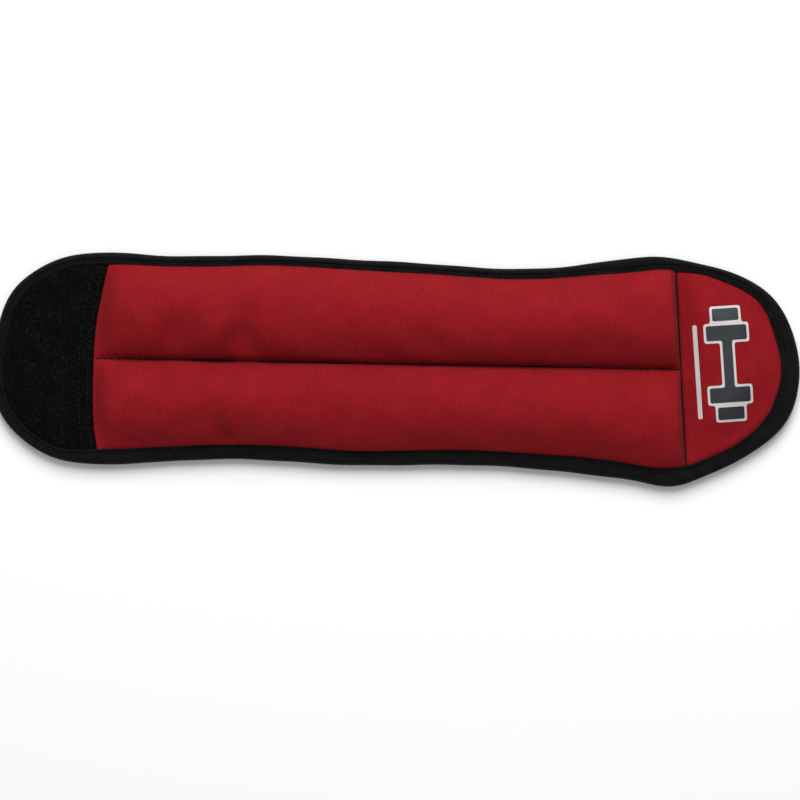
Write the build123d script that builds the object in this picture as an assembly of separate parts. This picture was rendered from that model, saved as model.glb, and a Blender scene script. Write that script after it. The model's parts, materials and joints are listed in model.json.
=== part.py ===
from build123d import *
import os

# Ankle cuff weight: a long soft strap with two padded channels full of iron shot, bound all round
# with folded tape. One end carries a loop panel on its face, and the other a hook tape on its back,
# so the cuff wraps round the leg and closes on itself. It lies face up, with its back at z = 0.
# X runs from the loop end to the hook end, and Y across the cuff. All sizes are in millimetres.

# Where the cuff bends: between its seven rigid lengths, from the loop end to the hook end.
LOOP_HINGE = -139.0
HOOK_HINGE = 133.5
SEGMENTS = 5
SEGMENT_LENGTH = (HOOK_HINGE - LOOP_HINGE) / SEGMENTS
HOOK_PIVOT_Z = 3.6
HOOK_PIVOT_RADIUS = 3.3
BEND_GAP = 0.3

# Plan outline, anticlockwise from above: loop end, front edge, hook end, rear edge.
OUTLINE = [
    (-189.2, -1), (-176.8, -35.8), (-163, -44.8), (-125, -48.4), (-73, -45.2), (-22, -47), (15, -46.2),
    (58, -46.6), (94, -49.6), (113, -51.9), (131, -54), (147, -48.5), (162, -41), (185.5, -18.8), (189, 1),
    (183.5, 24), (172, 38.8), (160, 45.4), (143, 50.2), (124, 53.3), (103, 51.7), (80, 48.1), (50, 46.4),
    (10, 48.3), (-23, 49.4), (-62, 50.6), (-91, 49.6), (-112, 49.5), (-138, 50.5), (-163, 45.2),
    (-178, 34.3),
]
INSET_POINTS = 90
STRETCHES = 12
SEAM_Y = 1.2
SEAM_HALF_WIDTH = 1.2

# Layers, from the back upwards.
LINING_TOP = 3.0
LINING_EDGE_BOTTOM = 1.1
LINING_HOOK_BOTTOM = 1.4
FACE_THICKNESS = 3.0
FACE_TOP = LINING_TOP + FACE_THICKNESS
CROWN_Z = 20.0
END_CROWN_Z = 9.0
END_TAPER = 12.0

# Folded edge binding.
BINDING_WIDTH = 8.0
BINDING_TAPE = 0.8
BINDING_BOTTOM = 0.3
BINDING_TOP = 6.9
BINDING_CLEARANCE = 0.1
SANDWICH_INSET = BINDING_TAPE + BINDING_CLEARANCE
WINDOW_INSET = BINDING_WIDTH + 0.2

# Threads.
THREAD_WIDTH = 0.8
THREAD_HEIGHT = 0.25
THREAD_SINK = 0.35
BINDING_THREAD_INSET = 5.6

# Loop end.
FOAM_TOP = 4.6
LOOP_TOP = 7.2
LOOP_SEAM_SETBACKS = (3.5, 8.0)

# Hook end.
HOOK_TAPE_TOP = 1.3
HOOK_TAPE_INSET = 11.0
HOOK_TAPE_START = HOOK_HINGE + 6.0
HOOK_THREAD_INSET = 13.0
END_SEAM_SETBACK = 1.6

# Weight pouches and the shot in them.
POUCH_INSET = FACE_THICKNESS + 0.35
POUCH_WALL = 0.5
SHOT_CLEARANCE = 0.1
POUCH_END_GAP = 1.6
CHANNEL_END = 5.0

# Print on the hook end: a plain dumbbell pictogram with a bar beside it.
PRINT_CENTRE = (155.0, SEAM_Y)
PRINT_FILM = 0.15
PRINT_BORDER = 1.1
PRINT_BAR_OFFSET = -13.0
PRINT_BAR_SIZE = (2.2, 44.0)
# Each block of the pictogram: distance along Y, width across X, length along Y.
PRINT_BLOCKS = [
    (0.0, 4.0, 18.0), (12.0, 17.0, 6.0), (-12.0, 17.0, 6.0), (19.5, 11.0, 5.0), (-19.5, 11.0, 5.0),
]

REACH = 400.0
REAR, FRONT = 1, -1


def outline_curve():
    """The cuff's plan outline as one smooth closed curve, centred on the origin."""
    curve = Edge.make_spline([Vector(x, y) for x, y in OUTLINE], periodic=True)
    middle = curve.bounding_box().center()
    return curve.moved(Location((-middle.X, -middle.Y, 0)))


def plan(inset=0.0):
    """A flat face with the cuff's outline, pulled in by an inset."""
    curve = outline_curve()
    if inset:
        places = [n / INSET_POINTS for n in range(INSET_POINTS)]
        inward = [curve.tangent_at(t).rotate(Axis.Z, 90) for t in places]
        points = [curve.position_at(t) + n * inset for t, n in zip(places, inward)]
        curve = Edge.make_spline(points, periodic=True)
    stretches = [curve.trim(n / STRETCHES, (n + 1) / STRETCHES) for n in range(STRETCHES)]
    return Face(Wire(stretches))


def layer(inset, bottom, top):
    """A flat layer with the cuff's outline."""
    return Pos(0, 0, bottom) * extrude(plan(inset), top - bottom)


def slab(start, end):
    """All the space between two planes across the cuff."""
    return Pos((start + end) / 2, 0, 0) * Box(end - start, REACH, REACH)


def edge_y(x, side):
    """Where the outline crosses a station along the cuff, on its rear or front side."""
    cut = plan() & Edge.make_line((x, -REACH, 0), (x, REACH, 0))
    box = cut.bounding_box()
    return box.max.Y if side == REAR else box.min.Y


def channel_section(x, crown, side, inset):
    """An arch across one channel: flat below, round above."""
    seam = SEAM_Y + side * (SEAM_HALF_WIDTH + inset)
    edge = edge_y(x, side) - side * (WINDOW_INSET + inset)
    base = LINING_TOP + max(inset - FACE_THICKNESS, 0.0)
    first, last = Vector(x, seam, base), Vector(x, edge, base)
    top = Vector(x, (seam + edge) / 2, crown - inset)
    return Face(Wire([ThreePointArc(first, top, last).edge(), Line(last, first).edge()]))


def channel(side, inset=0.0):
    """One padded channel as a solid, tapering down at both ends of the padding."""
    first, last = LOOP_HINGE, HOOK_HINGE
    stations = [(first, END_CROWN_Z), (first + END_TAPER, CROWN_Z - 1.5)]
    middles = [first + SEGMENT_LENGTH * (k + 0.5) for k in range(SEGMENTS)]
    stations += [(x, CROWN_Z) for x in middles]
    stations += [(last - END_TAPER, CROWN_Z - 1.5), (last, END_CROWN_Z)]
    return loft([channel_section(x, crown, side, inset) for x, crown in stations])


def strip(outer_inset, width, bottom, height):
    """A thread that runs round the cuff, side by side with its outline."""
    return layer(outer_inset, bottom, bottom + height) - layer(outer_inset + width, 0, REACH)


def segment_ends(number):
    """The two planes that bound a padded segment, with a gap for the bend at each."""
    start = LOOP_HINGE + SEGMENT_LENGTH * (number - 1)
    first = start + BEND_GAP / 2
    last = start + SEGMENT_LENGTH - BEND_GAP / 2
    if number == SEGMENTS:
        last = HOOK_HINGE - HOOK_PIVOT_RADIUS - BEND_GAP
    return first, last


def hook_end_space():
    """The hook end's share of the cuff: all that lies past its hinge, rounded about the pivot."""
    pivot = Pos(HOOK_HINGE, 0, HOOK_PIVOT_Z) * Rot(90, 0, 0) * Cylinder(HOOK_PIVOT_RADIUS, REACH)
    return slab(HOOK_HINGE, REACH) + pivot


def make_lining():
    """The back layer: thinner under the binding, and full thickness inside it."""
    thin = layer(SANDWICH_INSET, LINING_EDGE_BOTTOM, LINING_TOP)
    return thin + layer(WINDOW_INSET, 0, LINING_EDGE_BOTTOM)


def make_binding():
    """Tape folded over the edge all round: an outer wall with a fold above and below."""
    block = layer(0, BINDING_BOTTOM, BINDING_TOP)
    sandwich = layer(
        BINDING_TAPE, BINDING_BOTTOM + BINDING_TAPE - BINDING_CLEARANCE, FACE_TOP + BINDING_CLEARANCE
    )
    return block - sandwich - layer(BINDING_WIDTH, 0, REACH)


def make_binding_thread():
    """The stitch line through the binding, as it shows above and below."""
    above = strip(BINDING_THREAD_INSET, THREAD_WIDTH, BINDING_TOP, THREAD_HEIGHT)
    below = strip(BINDING_THREAD_INSET, THREAD_WIDTH, BINDING_BOTTOM - THREAD_HEIGHT, THREAD_HEIGHT)
    return above + below


def make_face():
    """The face layer: flat at its edges and seam, raised over the two channels."""
    face = layer(SANDWICH_INSET, LINING_TOP, FACE_TOP)
    padded = slab(LOOP_HINGE + CHANNEL_END, HOOK_HINGE - CHANNEL_END)
    for side in (REAR, FRONT):
        face = face + channel(side)
    for side in (REAR, FRONT):
        face = face - (channel(side, FACE_THICKNESS) & padded)
    return face


def across(x, inset, bottom, height):
    """A thread across the cuff, from binding to binding."""
    return layer(inset, bottom, bottom + height) & slab(x, x + THREAD_WIDTH)


def print_blocks(border):
    """The pictogram's blocks, each grown by a border, as one flat sketch."""
    blocks = Sketch()
    for along, width, length in PRINT_BLOCKS:
        size = (width + 2 * border, length + 2 * border)
        blocks += Pos(PRINT_CENTRE[0], PRINT_CENTRE[1] + along) * RectangleRounded(*size, 1.0)
    return blocks


def write(name, shape):
    """Writes a sub-part's solids as one STEP file under its node's name."""
    solids = shape.solids()
    export_step(solids[0] if len(solids) == 1 else Compound(children=solids), f"parts/{name}.step")


def write_segments(lining, face, binding, thread):
    """The five padded lengths of the cuff, and what each holds."""
    centre_thread = Pos((LOOP_HINGE + HOOK_HINGE) / 2, SEAM_Y, FACE_TOP + THREAD_HEIGHT / 2) * Box(
        HOOK_HINGE - LOOP_HINGE, THREAD_WIDTH, THREAD_HEIGHT
    )
    pouches = {side: channel(side, POUCH_INSET) for side in (REAR, FRONT)}
    hollows = {side: channel(side, POUCH_INSET + POUCH_WALL) for side in (REAR, FRONT)}
    shot = {
        side: channel(side, POUCH_INSET + POUCH_WALL + SHOT_CLEARANCE) for side in (REAR, FRONT)
    }
    for number in range(1, SEGMENTS + 1):
        first, last = segment_ends(number)
        length = slab(first, last)
        write(f"lining_{number}", lining & length)
        write(f"face_panel_{number}", face & length)
        write(f"binding_{number}", binding & length)
        write(f"binding_thread_{number}", thread & length)
        write(f"centre_thread_{number}", centre_thread & length)

        bag_first = first + (CHANNEL_END if number == 1 else 0) + POUCH_END_GAP
        bag_last = last - (CHANNEL_END if number == SEGMENTS else 0) - POUCH_END_GAP
        bag = slab(bag_first, bag_last)
        hollow = slab(bag_first + POUCH_WALL, bag_last - POUCH_WALL)
        inside = POUCH_WALL + SHOT_CLEARANCE
        filled = slab(bag_first + inside, bag_last - inside)
        for side, name in ((REAR, "rear"), (FRONT, "front")):
            write(f"pouch_{number}_{name}", (pouches[side] & bag) - (hollows[side] & hollow))
        write(f"shot_{number}", (shot[REAR] & filled) + (shot[FRONT] & filled))


def write_loop_end(lining, binding, thread):
    """The flat end with the loop panel on its face."""
    space = slab(-REACH, LOOP_HINGE - BEND_GAP / 2)
    foam = layer(SANDWICH_INSET, LINING_TOP, FOAM_TOP)
    pile = layer(SANDWICH_INSET, FOAM_TOP, FACE_TOP) + layer(WINDOW_INSET, FACE_TOP, LOOP_TOP)
    stitches = Part()
    for setback in LOOP_SEAM_SETBACKS:
        seam_x = LOOP_HINGE - setback
        margin = THREAD_WIDTH / 2 + BINDING_CLEARANCE
        pile -= slab(seam_x - margin, seam_x + margin) & layer(0, LOOP_TOP - THREAD_SINK, REACH)
        line = across(seam_x - THREAD_WIDTH / 2, WINDOW_INSET, LOOP_TOP - THREAD_SINK, THREAD_HEIGHT)
        stitches += line
    write("loop_end_lining", lining & space)
    write("loop_end_foam", foam & space)
    write("loop_panel", pile & space)
    write("loop_end_binding", binding & space)
    write("loop_end_binding_thread", thread & space)
    write("loop_seam_thread", stitches)


def write_hook_end(binding, thread):
    """The flat end with the print on its face and the hook tape on its back."""
    space = hook_end_space()
    lining = layer(SANDWICH_INSET, LINING_EDGE_BOTTOM, LINING_TOP)
    lining -= layer(WINDOW_INSET, 0, LINING_HOOK_BOTTOM)
    face = layer(SANDWICH_INSET, LINING_TOP, FACE_TOP)
    tape_space = slab(HOOK_TAPE_START, REACH)
    stitch_inset = HOOK_THREAD_INSET - HOOK_TAPE_INSET
    stitch_space = slab(HOOK_TAPE_START + stitch_inset, REACH)
    groove = strip(HOOK_THREAD_INSET, THREAD_WIDTH + 2 * BINDING_CLEARANCE, 0, THREAD_SINK)
    stitches = strip(HOOK_THREAD_INSET + BINDING_CLEARANCE, THREAD_WIDTH, 0, THREAD_HEIGHT)
    tape = (layer(HOOK_TAPE_INSET, 0, HOOK_TAPE_TOP) & tape_space) - (groove & stitch_space)
    write("hook_end_lining", lining & space)
    write("end_panel", face & space)
    write("hook_tape", tape)
    write("hook_tape_thread", stitches & slab(HOOK_TAPE_START + stitch_inset + BEND_GAP, REACH))
    write("hook_end_binding", binding & space)
    write("hook_end_binding_thread", thread & space)
    seam_x = HOOK_HINGE + END_SEAM_SETBACK
    write("end_seam_thread", across(seam_x, WINDOW_INSET, FACE_TOP, THREAD_HEIGHT))


def write_print():
    """Two films of ink on the end panel: white, then dark inside the white border."""
    white = print_blocks(PRINT_BORDER)
    white += Pos(PRINT_CENTRE[0] + PRINT_BAR_OFFSET, PRINT_CENTRE[1]) * Rectangle(*PRINT_BAR_SIZE)
    write("print_white", Pos(0, 0, FACE_TOP) * extrude(white, PRINT_FILM))
    write("print_dark", Pos(0, 0, FACE_TOP + PRINT_FILM) * extrude(print_blocks(0), PRINT_FILM))


os.makedirs("parts", exist_ok=True)
whole_lining = make_lining()
whole_binding = make_binding()
whole_thread = make_binding_thread()
write_segments(whole_lining, make_face(), whole_binding, whole_thread)
write_loop_end(whole_lining, whole_binding, whole_thread)
write_hook_end(whole_binding, whole_thread)
write_print()
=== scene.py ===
"""The looks of the ankle cuff weight: a red padded strap with black edges, laid out face up.

Every continuous layer of the strap is made as one surface and then cut across the middle of each
rigid length. Each cut piece spans one hinge, so that its ends meet their neighbours exactly.
Sizes are in metres, in the frame's own axes: X runs from the loop end to the hook end, Y across
the strap from its front to its rear, and Z out of its face.
"""

import json
import math

import bmesh
import bpy
import numpy as np
from mathutils import Matrix, Vector


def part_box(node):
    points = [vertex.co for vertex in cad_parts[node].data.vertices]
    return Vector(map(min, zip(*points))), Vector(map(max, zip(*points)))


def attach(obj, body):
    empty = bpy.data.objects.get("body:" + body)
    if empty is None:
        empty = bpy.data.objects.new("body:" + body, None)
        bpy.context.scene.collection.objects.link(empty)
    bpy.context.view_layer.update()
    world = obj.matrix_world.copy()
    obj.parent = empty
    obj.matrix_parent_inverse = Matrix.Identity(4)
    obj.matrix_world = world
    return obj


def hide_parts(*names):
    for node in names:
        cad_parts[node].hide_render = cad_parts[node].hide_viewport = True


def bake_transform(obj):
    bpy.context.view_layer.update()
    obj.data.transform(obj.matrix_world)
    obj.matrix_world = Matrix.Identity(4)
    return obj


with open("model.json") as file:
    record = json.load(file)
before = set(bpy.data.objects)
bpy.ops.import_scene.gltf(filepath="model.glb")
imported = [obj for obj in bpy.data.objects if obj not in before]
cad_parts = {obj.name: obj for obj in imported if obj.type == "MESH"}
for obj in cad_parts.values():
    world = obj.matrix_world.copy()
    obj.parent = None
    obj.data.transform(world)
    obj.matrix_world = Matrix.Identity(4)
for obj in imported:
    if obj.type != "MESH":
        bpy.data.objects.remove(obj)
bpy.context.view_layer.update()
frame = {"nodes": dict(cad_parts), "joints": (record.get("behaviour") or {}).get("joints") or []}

MM = 0.001
SHARP_ANGLE = math.radians(50)

# ---- sizes from the frame

JOINT_X = {joint["name"]: joint["pos_m"][0] for joint in frame["joints"]}
LOOP_HINGE = JOINT_X["loop_end_wrap"]
HOOK_HINGE = JOINT_X["hook_flap"]
SEGMENTS = 5
SEGMENT = (HOOK_HINGE - LOOP_HINGE) / SEGMENTS
CUTS = [LOOP_HINGE + SEGMENT * (k + 0.5) for k in range(SEGMENTS)]
SEAM_Y = float(np.mean([corner.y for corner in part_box("centre_thread_3")]))
LINING_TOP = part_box("lining_3")[1].z
FACE_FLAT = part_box("end_panel")[1].z
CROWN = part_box("face_panel_3")[1].z
BINDING_LOW, BINDING_HIGH = (corner.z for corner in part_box("binding_3"))
LOOP_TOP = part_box("loop_panel")[1].z
TAPE_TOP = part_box("hook_tape")[1].z
BINDING_TAPE = 0.8 * MM
FLAT_BEND = 12 * MM

# ---- small helpers


def smooth(t):
    """0 below 0, 1 above 1, and a smooth rise between."""
    t = np.clip(t, 0.0, 1.0)
    return t * t * (3 - 2 * t)


def bump(x, centre, width):
    """A smooth hump of height 1 round a centre."""
    return np.exp(-(((x - centre) / width) ** 2))


def lerp(a, b, t):
    return a + (b - a) * t


def waves(x, y, scale, seed, octaves=3):
    """Smooth, repeatable unevenness of about -1 to 1, made of crossing sine waves."""
    rng = np.random.default_rng(seed)
    total = np.zeros(np.broadcast(x, y).shape)
    size = 1.0
    for _ in range(octaves):
        for _ in range(4):
            angle, phase = rng.uniform(0, 2 * math.pi, 2)
            length = scale * rng.uniform(0.8, 1.5)
            along = x * math.cos(angle) + y * math.sin(angle)
            total = total + size * np.sin(2 * math.pi * along / length + phase) / 4
        size *= 0.5
        scale *= 0.5
    return total


def grid_normals(grid):
    """Unit normals of a grid of points, from its neighbours' differences."""
    along = np.gradient(grid, axis=0)
    across = np.gradient(grid, axis=1)
    normal = np.cross(along, across)
    return normal / np.linalg.norm(normal, axis=2, keepdims=True)


def resample(values, places):
    """A list of points, read off at places between them by cubic interpolation."""
    base = np.clip(np.floor(places).astype(int), 0, len(values) - 2)
    t = (places - base)[:, None]
    flat = values.reshape(len(values), -1)
    before = flat[np.maximum(base - 1, 0)]
    start, end = flat[base], flat[base + 1]
    after = flat[np.minimum(base + 2, len(values) - 1)]
    cubic = start + 0.5 * t * (
        end - before + t * (2 * before - 5 * start + 4 * end - after
                            + t * (3 * (start - end) + after - before))
    )
    return cubic.reshape((len(places),) + values.shape[1:])


def lengths(line):
    """How far along a line of points each of them lies."""
    return np.concatenate([[0], np.cumsum(np.linalg.norm(np.diff(line, axis=0), axis=1))])


def rounder(ring, times):
    """A closed line of points, each averaged with its neighbours, several times over."""
    for _ in range(times):
        ring = (np.roll(ring, 1, 0) + 2 * ring + np.roll(ring, -1, 0)) / 4
    return ring


def mesh_object(name, points, faces, uvs=None):
    """A mesh object with smooth shading, sharp where its faces turn sharply."""
    mesh = bpy.data.meshes.new(name)
    mesh.from_pydata(np.asarray(points, float).tolist(), [], faces)
    mesh.validate()
    if uvs is not None:
        layer = mesh.uv_layers.new(name="cloth")
        corners = np.zeros(len(mesh.loops), np.int32)
        mesh.loops.foreach_get("vertex_index", corners)
        layer.data.foreach_set("uv", np.asarray(uvs, np.float32)[corners].ravel())
    mesh.polygons.foreach_set("use_smooth", [True] * len(mesh.polygons))
    mesh.set_sharp_from_angle(angle=SHARP_ANGLE)
    obj = bpy.data.objects.new(name, mesh)
    bpy.context.scene.collection.objects.link(obj)
    return obj


def grid_faces(rows, columns, start=0, flip=False, wrap=False):
    """Quads over a grid of points that are numbered row by row."""
    index = start + np.arange(rows * columns).reshape(rows, columns)
    if wrap:
        index = np.hstack([index, index[:, :1]])
    quads = np.stack([index[:-1, :-1], index[1:, :-1], index[1:, 1:], index[:-1, 1:]], axis=-1)
    quads = quads.reshape(-1, 4)
    return (quads[:, ::-1] if flip else quads).tolist()


def slab(name, top, bottom, uv):
    """A closed sheet between two grids of points, with a rim all round."""
    rows, columns = top.shape[:2]
    count = rows * columns
    faces = grid_faces(rows, columns) + grid_faces(rows, columns, count, flip=True)
    index = np.arange(count).reshape(rows, columns)
    ring = [*index[:, 0], *index[-1, 1:], *index[-2::-1, -1], *index[0, -2:0:-1]]
    for a, b in zip(ring, ring[1:] + ring[:1]):
        faces.append((b, a, a + count, b + count))
    points = np.concatenate([top.reshape(-1, 3), bottom.reshape(-1, 3)])
    flat = uv.reshape(-1, 2)
    return mesh_object(name, points, faces, np.concatenate([flat, flat]))


# ---- zones: one per hinge

ZONE_BENDS = [(LOOP_HINGE - FLAT_BEND, LOOP_HINGE + FLAT_BEND)]
ZONE_BENDS += list(zip(CUTS[:-1], CUTS[1:]))
ZONE_BENDS += [(HOOK_HINGE - FLAT_BEND, HOOK_HINGE + FLAT_BEND)]
LOOP_ZONE, HOOK_ZONE = 0, 5
END_BODIES = {LOOP_ZONE: "loop_end", HOOK_ZONE: "hook_end"}


def fasten(piece, material, nodes):
    """Gives a piece its material, bakes its place into its mesh and hides the CAD nodes it stands
    for.
    """
    piece.data.materials.append(material)
    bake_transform(piece)
    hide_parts(*nodes)


def zone_nodes(stem, zone, ends=False):
    """The CAD nodes of a layer that a zone's piece stands for, with the layer's part on an end."""
    nodes = [f"{stem}_{max(zone, 1)}"]
    if ends and zone in END_BODIES:
        nodes.append(f"{END_BODIES[zone]}_{stem}")
    return nodes


# ---- the outline, read off the CAD

STADIUM_STEPS = 900
OUTLINE_STEP = 1.0 * MM
STADIUM_RADIUS = 90 * MM
RAY_REACH = 200 * MM


def stadium(count):
    """Rays that point outwards all round: from two straight sides and two half circles."""
    side, half_circle = HOOK_HINGE - LOOP_HINGE, math.pi * STADIUM_RADIUS
    corners = np.cumsum([0, side, half_circle, side, half_circle])
    places = corners[-1] * (np.arange(count) + 0.5) / count
    feet = np.interp(places, corners, [LOOP_HINGE, HOOK_HINGE, HOOK_HINGE, LOOP_HINGE, LOOP_HINGE])
    turns = np.interp(places, corners, np.radians([-90, -90, 90, 90, 270]))
    for x, turn in zip(feet, turns):
        yield Vector((x, 0, 0)), Vector((math.cos(turn), math.sin(turn), 0))


def read_outline():
    """The strap's edge in plan, anticlockwise from the loop hinge's front, in even steps."""
    names = [f"{body}_binding" for body in END_BODIES.values()]
    names += [f"binding_{k + 1}" for k in range(SEGMENTS)]
    nodes = [frame["nodes"][name] for name in names]
    height = Vector((0, 0, (BINDING_LOW + BINDING_HIGH) / 2))
    points = []
    for foot, out in stadium(STADIUM_STEPS):
        start = foot + height + out * RAY_REACH
        hits = []
        for node in nodes:
            found, place, _, _ = node.ray_cast(start, -out, distance=RAY_REACH)
            if found:
                hits.append(((place - foot).dot(out), place))
        if hits:
            _, place = max(hits, key=lambda hit: hit[0])
            points.append((place.x, place.y))
    return even_steps(rounder(np.array(points), 3), OUTLINE_STEP)


def even_steps(points, step):
    """A closed line of points spaced evenly along its length."""
    ring = np.vstack([points, points[:1]])
    length = lengths(ring)
    count = int(round(length[-1] / step))
    places = np.linspace(0, length[-1], count, endpoint=False)
    return np.stack([np.interp(places, length, ring[:, k]) for k in range(2)], axis=1)


OUTLINE = read_outline()


def inward_normals(line):
    """Unit directions from each point of the outline into the strap."""
    ahead = rounder(np.roll(line, -1, 0) - np.roll(line, 1, 0), 6)
    ahead /= np.linalg.norm(ahead, axis=1, keepdims=True)
    return np.stack([-ahead[:, 1], ahead[:, 0]], axis=1)


INWARD = inward_normals(OUTLINE)


# ---- the sewn lines and the binding's width

# The bare numbers in loop_border, cross_seam and fold_width are lengths in mm.
HIDDEN_INSET = 1.3 * MM
SIDE_Y = 45 * MM
AT_ONCE = 4000  # points measured in one step, which bounds the memory


def loop_border(y):
    """X of the loop panel's sewn edge, a little askew and hollow, as it was laid."""
    across = y / SIDE_Y
    return LOOP_HINGE + (-2.15 + 1.65 * across + 4.6 * across**2) * MM


def cross_seam(y):
    """X of the seam between the padding and the hook end's face, sewn a little askew."""
    return HOOK_HINGE - (0.2 + 3.2 * y / SIDE_Y) * MM


def fold_width(points):
    """How far the binding's upper fold reaches in from the edge, round the outline."""
    x, y = points[..., 0] / MM, points[..., 1] / MM
    rear = 5.5 + 1.7 * bump(x, 110, 20) + 0.4 * bump(x, -125, 20)
    front = 7.4 + 1.5 * bump(x, 131, 12) + 0.8 * bump(x, 90, 25)
    side = lerp(rear, front, smooth((10 - y) / 20))
    hook = 5.5 + 3.3 * smooth((48 - y) / 30) + 1.0 * bump(y, -14, 12)
    hook -= 1.2 * smooth((-24 - y) / 14)
    width = lerp(side, hook, smooth((x - 136) / 14)) - 0.9 * bump(x, 144, 8) * smooth(y / 20)
    width = lerp(width, 5.4, smooth((-132 - x) / 30))
    x, y = points[..., 0], points[..., 1]
    return width * MM + 0.25 * MM * waves(x, y, 45 * MM, seed=11)


FOLD = fold_width(OUTLINE)
BOTH_FOLDS = 16.0 * MM


def straight(x):
    """A straight line across the strap, as a function that gives its x at each y."""
    return lambda y: x + 0 * y


def inset_point(places, inset):
    """Points a distance in from the edge, at places along the outline's length."""
    ring = np.vstack([OUTLINE, OUTLINE[:2]])
    inward = np.vstack([INWARD, INWARD[:2]])
    places = np.mod(places, len(OUTLINE))
    return resample(ring, places) + resample(inward, places) * np.reshape(inset, (-1, 1))


def meets(x_of_y, front, inset=0.0):
    """Where a line across the strap meets the line an inset from its edge, as a place and a y."""
    line = OUTLINE + INWARD * np.reshape(inset, (-1, 1))
    gap = line[:, 0] - x_of_y(line[:, 1])
    after = np.roll(gap, -1)
    turns = np.flatnonzero((gap < 0) != (after < 0))
    place = next(int(n) for n in turns if (line[n, 1] < 0) == front)
    share = gap[place] / (gap[place] - after[place])
    return place + share, lerp(line[place, 1], line[(place + 1) % len(line), 1], share)


def from_edge(points):
    """Each point's distance from the strap's edge, and the binding's width beside it."""
    flat = points.reshape(-1, points.shape[-1])[:, :2]
    nearest = np.zeros(len(flat), int)
    for first in range(0, len(flat), AT_ONCE):
        part = flat[first:first + AT_ONCE]
        gaps = ((part[:, None, :] - OUTLINE[None]) ** 2).sum(axis=2)
        nearest[first:first + AT_ONCE] = gaps.argmin(axis=1)
    distance = ((flat - OUTLINE[nearest]) * INWARD[nearest]).sum(axis=1)
    shape = points.shape[:-1]
    return distance.reshape(shape), FOLD[nearest].reshape(shape)


# ---- materials


class Shader:
    """A principled material whose inputs are built from a few kinds of texture."""

    def __init__(self, name, **constants):
        self.material = bpy.data.materials.new(name)
        self.material.use_nodes = True
        self.tree = self.material.node_tree
        self.tree.nodes.clear()
        self.shader = self.node("ShaderNodeBsdfPrincipled")
        self.link(self.shader, "BSDF", self.node("ShaderNodeOutputMaterial"), "Surface")
        for key, value in constants.items():
            self.shader.inputs[key.replace("_", " ")].default_value = value
        self.uv = self.node("ShaderNodeTexCoord")
        self.height = None

    def node(self, kind, **settings):
        node = self.tree.nodes.new(kind)
        for key, value in settings.items():
            setattr(node, key, value)
        return node

    def link(self, source, output, target, entry):
        self.tree.links.new(source.outputs[output], target.inputs[entry])

    def texture(self, kind, output, inputs, stretch=(1, 1), turn=0.0, **settings):
        """A texture over the cloth's own coordinates, in metres, stretched and turned."""
        mapping = self.node("ShaderNodeMapping")
        mapping.inputs["Scale"].default_value = (*stretch, 1)
        mapping.inputs["Rotation"].default_value = (0, 0, turn)
        self.link(self.uv, "UV", mapping, "Vector")
        texture = self.node(kind, **settings)
        for name, value in inputs.items():
            texture.inputs[name].default_value = value
        self.link(mapping, "Vector", texture, "Vector")
        return texture, output

    def noise(self, size, detail=3.0, stretch=(1, 1)):
        """Noise with features of about a size."""
        inputs = {"Scale": 1.0 / size, "Detail": detail}
        return self.texture("ShaderNodeTexNoise", "Fac", inputs, stretch)

    def ribs(self, pitch, turn=0.0, distortion=0.0):
        """Parallel ribs with a pitch."""
        inputs = {"Scale": 2 * math.pi / 20 / pitch, "Distortion": distortion, "Detail": 1.0}
        return self.texture("ShaderNodeTexWave", "Fac", inputs, turn=turn, wave_type="BANDS",
                            bands_direction="X")

    def cells(self, size):
        """Rounded cells of about a size, high in their middles."""
        inputs = {"Scale": 1.0 / size}
        return self.texture("ShaderNodeTexVoronoi", "Distance", inputs, feature="SMOOTH_F1")

    def math(self, operation, a, b):
        """One sum or product of two sources, each a (node, output) or a number."""
        node = self.node("ShaderNodeMath", operation=operation)
        for entry, value in enumerate((a, b)):
            if isinstance(value, tuple):
                self.link(value[0], value[1], node, entry)
            else:
                node.inputs[entry].default_value = value
        return node, "Value"

    def color(self, source, stops):
        """Colours the surface by a source, through a ramp of (place, colour) stops."""
        ramp = self.node("ShaderNodeValToRGB")
        elements = ramp.color_ramp.elements
        while len(elements) < len(stops):
            elements.new(0.5)
        for element, (place, value) in zip(elements, stops):
            element.position = place
            element.color = (*value, 1)
        self.link(source[0], source[1], ramp, "Fac")
        self.link(ramp, "Color", self.shader, "Base Color")

    def bump(self, source, depth):
        """Raises the surface by a source, with a depth in metres, over any earlier bump."""
        bump = self.node("ShaderNodeBump")
        bump.inputs["Strength"].default_value = 1.0
        bump.inputs["Distance"].default_value = depth
        self.link(source[0], source[1], bump, "Height")
        if self.height is not None:
            self.link(self.height, "Normal", bump, "Normal")
        self.link(bump, "Normal", self.shader, "Normal")
        self.height = bump

    def knit(self, wale, course, depth, distortion=0.6):
        """Raises the loops of a knit, from the pitches of its wales and its courses."""
        wales = self.ribs(wale, distortion=distortion)
        courses = self.ribs(course, turn=math.pi / 2, distortion=distortion)
        self.bump(self.math("MULTIPLY", wales, courses), depth)


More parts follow.
